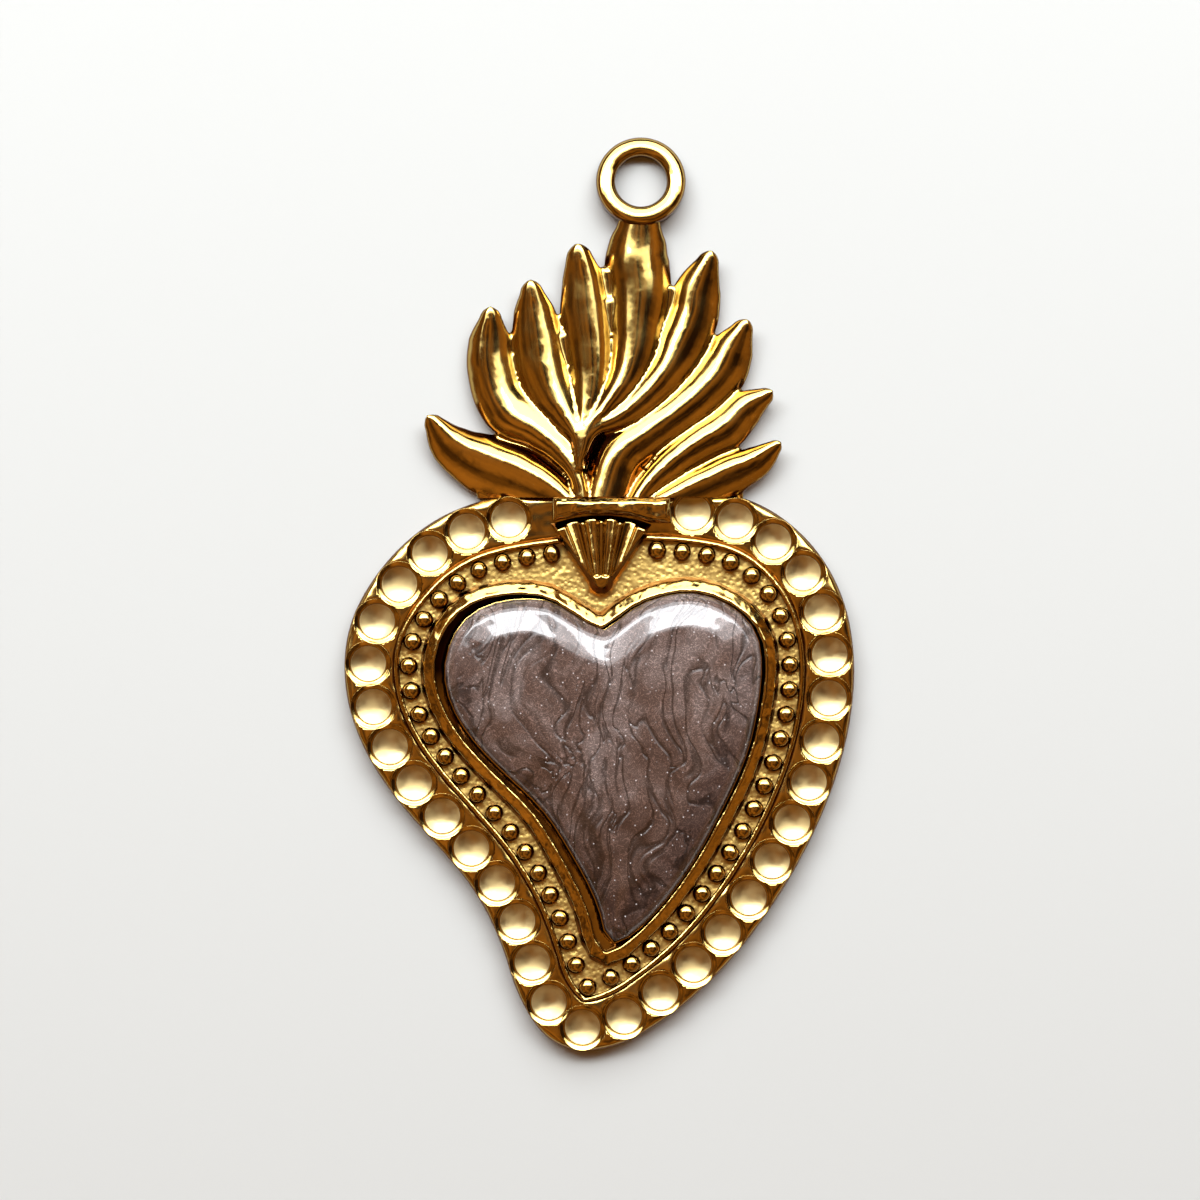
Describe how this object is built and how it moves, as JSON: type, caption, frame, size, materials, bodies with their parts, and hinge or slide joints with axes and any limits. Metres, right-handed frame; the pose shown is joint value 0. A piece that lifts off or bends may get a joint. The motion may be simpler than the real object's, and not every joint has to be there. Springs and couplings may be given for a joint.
{
  "type": "milagro charm",
  "caption": "Flat-backed sacred heart charm with a flame crown, a beaded channel round a domed enamel heart, a band of dished stone seats, a fluted fan, a collar bar and a hanging ring.",
  "frame": {"origin": "middle of the outer box on the flat back plane", "axes": "+X across the heart, +Y from the tail up to the hanging ring, +Z out of the face"},
  "size_m": [0.0335, 0.06, 0.0034],
  "materials": {
    "gilt_plate": "polished gilt, satin in the seats",
    "gilt_trim": "polished gilt",
    "gilt_crown": "polished gilt, lightly dented",
    "pearl_enamel": "glossy marbled pearl"
  },
  "bodies": {
    "root": {"heart_plate": "gilt_plate", "border_wire": "gilt_trim", "bead_row": "gilt_trim", "bezel": "gilt_trim", "enamel_heart": "pearl_enamel", "flame_crown": "gilt_crown", "collar": "gilt_crown", "fan": "gilt_crown", "hanging_ring": "gilt_crown"}
  },
  "joints": []
}
